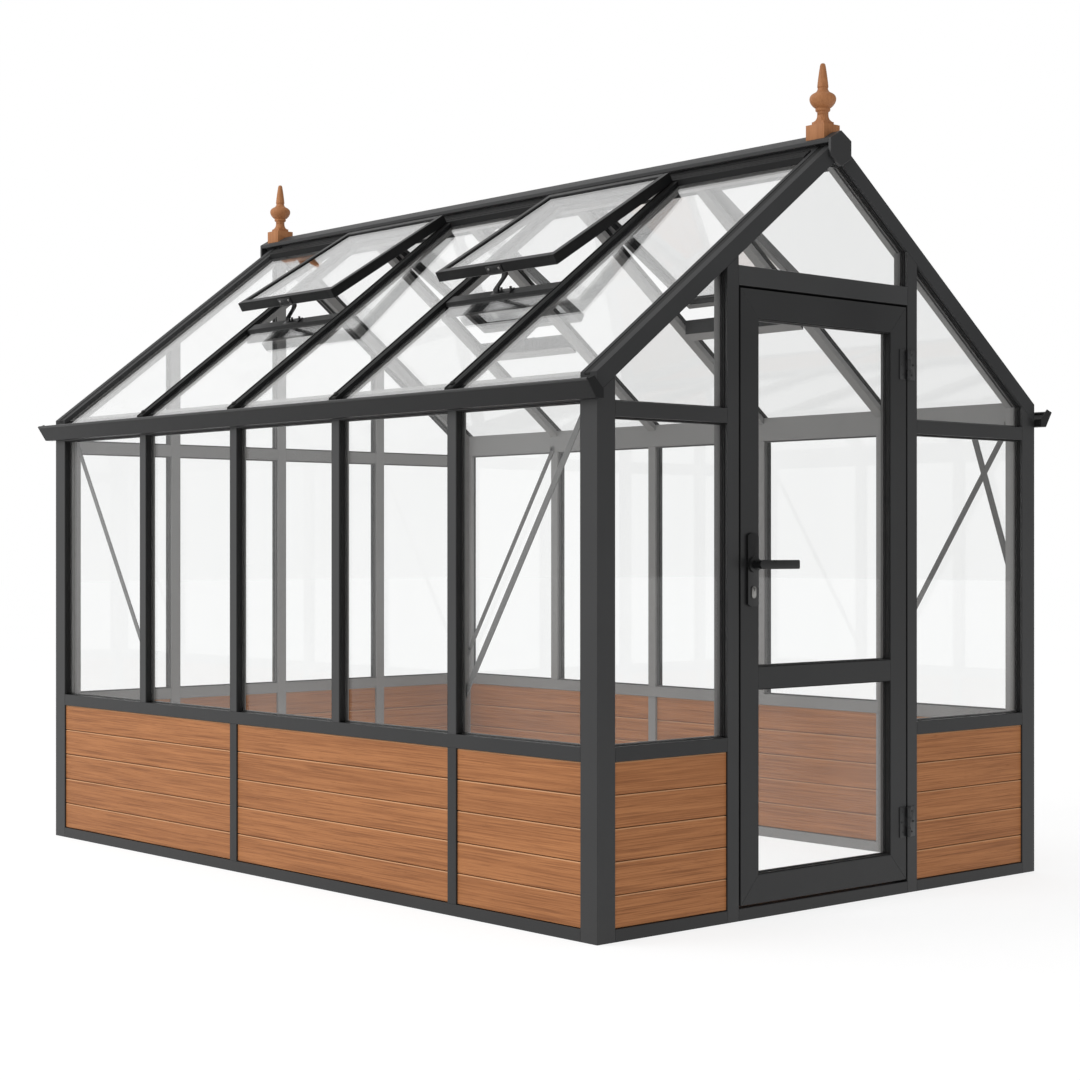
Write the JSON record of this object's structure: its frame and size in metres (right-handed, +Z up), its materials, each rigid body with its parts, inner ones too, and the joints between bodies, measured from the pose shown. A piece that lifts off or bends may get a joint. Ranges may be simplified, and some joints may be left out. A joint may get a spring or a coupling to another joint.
{
  "type": "glass greenhouse",
  "caption": "Free-standing gabled glass greenhouse with a dark metal frame, boarded base walls, propped roof vents, turned ridge finials and a hinged glazed door in one gable.",
  "frame": {"origin": "middle of the plan at ground level", "axes": "+Z up, +Y along the ridge towards the rear gable, the door gable faces -Y, +X to the right seen from the door"},
  "size_m": [2.25, 3.252, 2.7062],
  "materials": {
    "frame_paint": "satin powder coat, anthracite",
    "timber": "oiled hardwood",
    "glazing": "clear float glass",
    "black_metal": "black satin paint",
    "lock_steel": "satin nickel",
    "gasket": "black rubber seal"
  },
  "bodies": {
    "house": {"corner_posts": "frame_paint", "bottom_rails": "frame_paint", "threshold": "frame_paint", "sill_rails": "frame_paint", "base_posts": "frame_paint", "mullions": "frame_paint", "rear_gable_posts": "frame_paint", "gable_mid_rails": "frame_paint", "wall_braces": "frame_paint", "eave_beams": "frame_paint", "gutters": "frame_paint", "gutter_end_caps": "frame_paint", "rafters": "frame_paint", "roof_bars": "frame_paint", "glazing_caps": "frame_paint", "ridge_beam": "frame_paint", "ridge_cap": "frame_paint", "ridge_end_caps": "frame_paint", "vent_cills": "frame_paint", "door_posts": "frame_paint", "door_head": "frame_paint", "side_wall_boards": "timber", "front_wall_boards": "timber", "rear_wall_boards": "timber", "finials": "timber", "left_wall_glass": "glazing", "right_wall_glass": "glazing", "front_gable_glass": "glazing", "rear_gable_glass": "glazing", "left_roof_glass": "glazing", "right_roof_glass": "glazing", "vent_glass": "glazing", "ridge_rails": "black_metal", "vent_stiles": "black_metal", "vent_rails": "black_metal", "vent_stays": "black_metal", "frame_hinges": "black_metal", "rafter_seals": "gasket"},
    "door": {"door_stiles": "frame_paint", "door_rails": "frame_paint", "door_glass": "glazing", "door_hinges": "black_metal", "handle_plates": "black_metal", "lock_cylinders": "lock_steel"},
    "lever": {"lever_handle": "black_metal"}
  },
  "joints": [
    {"name": "door_swing", "type": "hinge", "parent": "house", "child": "door", "pos_m": [0.346, -1.583, 1], "axis": [0, 0, 1], "range_deg": [0, 105]},
    {"name": "lever_turn", "type": "hinge", "parent": "door", "child": "lever", "pos_m": [-0.409, -1.575, 1.091], "axis": [0, 1, 0], "range_deg": [0, 45], "stiffness_Nm_per_rad": 1.5}
  ]
}
